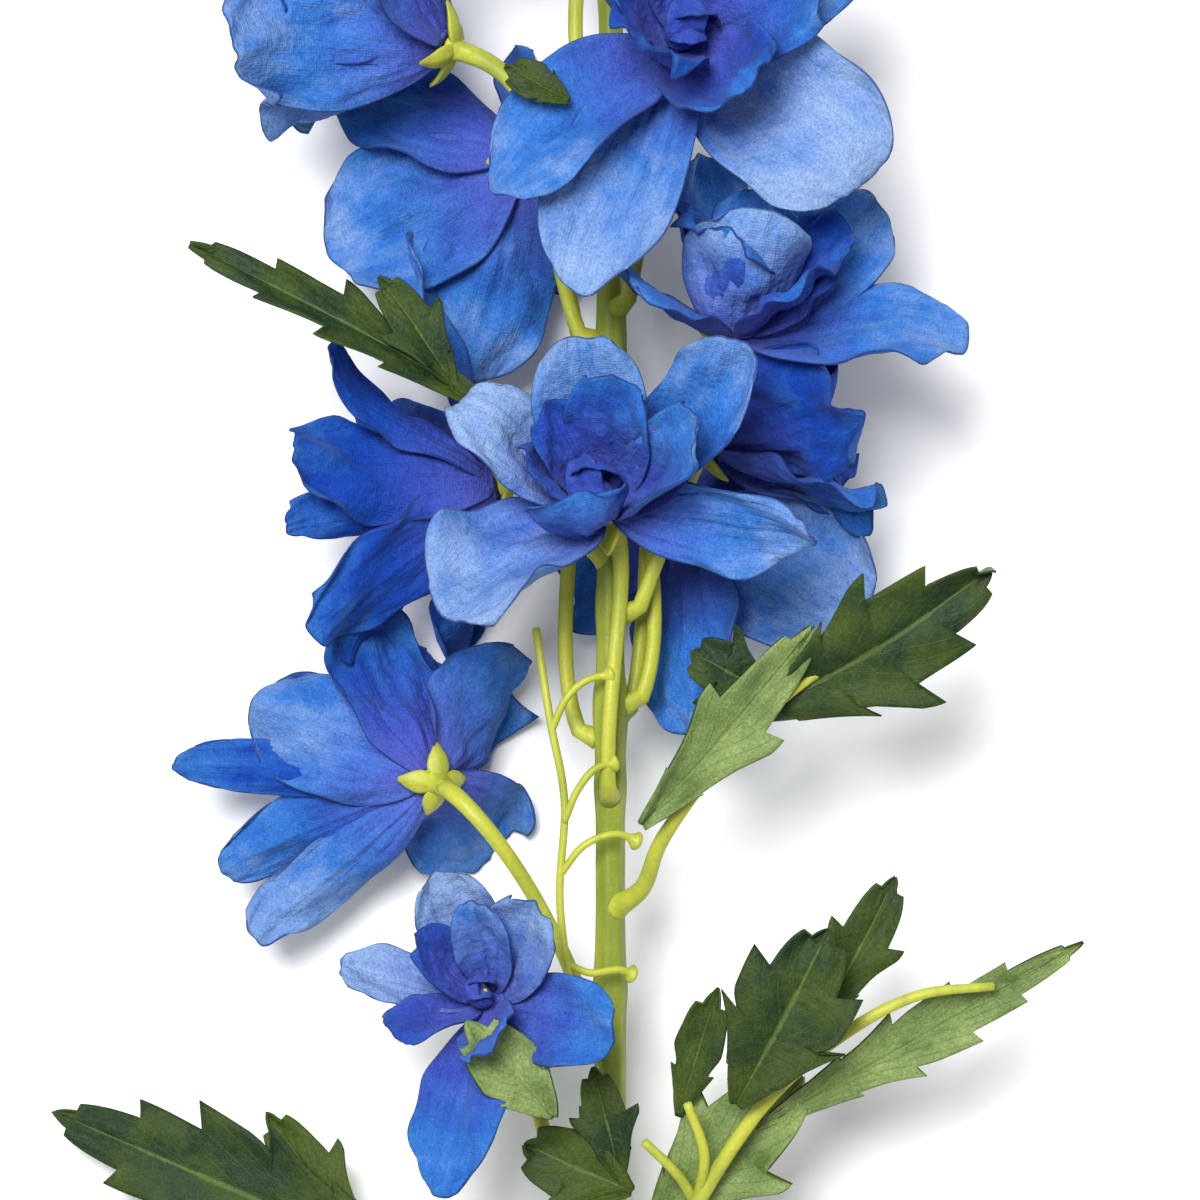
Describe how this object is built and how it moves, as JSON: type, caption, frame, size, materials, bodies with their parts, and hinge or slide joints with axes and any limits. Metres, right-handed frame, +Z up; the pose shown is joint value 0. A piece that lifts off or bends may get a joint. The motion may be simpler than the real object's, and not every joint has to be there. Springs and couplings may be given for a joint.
{
  "type": "artificial delphinium flower spike",
  "caption": "Cut blue delphinium spike of fabric petals and serrated leaves on a moulded green stem, lying on its side; closed buds at the tip and a plain cut end below.",
  "frame": {"origin": "middle of the underside of the whole spike as it lies on a flat surface", "axes": "+Y along the stem from the cut end to the tip, +Z up from the surface, +X to the right seen from above with the tip away"},
  "size_m": [0.1852, 0.4594, 0.079],
  "materials": {
    "outer_petal_fabric": "matte pressed polyester, blue with violet foot and pale tips",
    "inner_petal_fabric": "matte pressed polyester, deeper blue",
    "core_fabric": "matte pressed polyester, violet blue",
    "bud_fabric": "matte, blue with a green foot",
    "stem_plastic": "satin moulded plastic with faint ridges",
    "stalk_plastic": "satin moulded plastic, yellow-green",
    "leaf_fabric": "printed polyester, dark green face and pale green back"
  },
  "bodies": {
    "root": {"bloom_back_left_inner_petals": "inner_petal_fabric", "bloom_back_left_outer_petals": "outer_petal_fabric", "bloom_back_left_stalk": "stalk_plastic", "bloom_centre_core": "core_fabric", "bloom_centre_inner_petals": "inner_petal_fabric", "bloom_centre_outer_petals": "outer_petal_fabric", "bloom_centre_stalk": "stalk_plastic", "bloom_left_inner_petals": "inner_petal_fabric", "bloom_left_outer_petals": "outer_petal_fabric", "bloom_left_stalk": "stalk_plastic", "bloom_lower_back_inner_petals": "inner_petal_fabric", "bloom_lower_back_outer_petals": "outer_petal_fabric", "bloom_lower_back_stalk": "stalk_plastic", "bloom_lower_left_inner_petals": "inner_petal_fabric", "bloom_lower_left_outer_petals": "outer_petal_fabric", "bloom_lower_left_stalk": "stalk_plastic", "bloom_lowest_core": "core_fabric", "bloom_lowest_inner_petals": "inner_petal_fabric", "bloom_lowest_outer_petals": "outer_petal_fabric", "bloom_lowest_stalk": "stalk_plastic", "bloom_right_back_inner_petals": "inner_petal_fabric", "bloom_right_back_outer_petals": "outer_petal_fabric", "bloom_right_back_stalk": "stalk_plastic", "bloom_right_inner_petals": "inner_petal_fabric", "bloom_right_outer_petals": "outer_petal_fabric", "bloom_right_stalk": "stalk_plastic", "bloom_top_inner_petals": "inner_petal_fabric", "bloom_top_left_inner_petals": "inner_petal_fabric", "bloom_top_left_outer_petals": "outer_petal_fabric", "bloom_top_left_stalk": "stalk_plastic", "bloom_top_outer_petals": "outer_petal_fabric", "bloom_top_right_inner_petals": "inner_petal_fabric", "bloom_top_right_outer_petals": "outer_petal_fabric", "bloom_top_right_stalk": "stalk_plastic", "bloom_top_stalk": "stalk_plastic", "bloom_upper_left_inner_petals": "inner_petal_fabric", "bloom_upper_left_outer_petals": "outer_petal_fabric", "bloom_upper_left_stalk": "stalk_plastic", "bloom_upper_right_core": "core_fabric", "bloom_upper_right_inner_petals": "inner_petal_fabric", "bloom_upper_right_outer_petals": "outer_petal_fabric", "bloom_upper_right_stalk": "stalk_plastic", "bract_lowest": "leaf_fabric", "bud_front": "bud_fabric", "bud_left": "bud_fabric", "bud_right": "bud_fabric", "bud_tip": "bud_fabric", "leaf_lower_centre_blade": "leaf_fabric", "leaf_lower_centre_rib": "stalk_plastic", "leaf_lower_left_blade": "leaf_fabric", "leaf_lower_left_rib": "stalk_plastic", "leaf_lower_right_blade": "leaf_fabric", "leaf_lower_right_rib": "stalk_plastic", "leaf_right_blade": "leaf_fabric", "leaf_right_rib": "stalk_plastic", "leaf_upper_left_blade": "leaf_fabric", "leaf_upper_left_rib": "stalk_plastic", "leaflet_upper": "leaf_fabric", "main_stem": "stem_plastic", "runner": "stalk_plastic"}
  },
  "joints": []
}
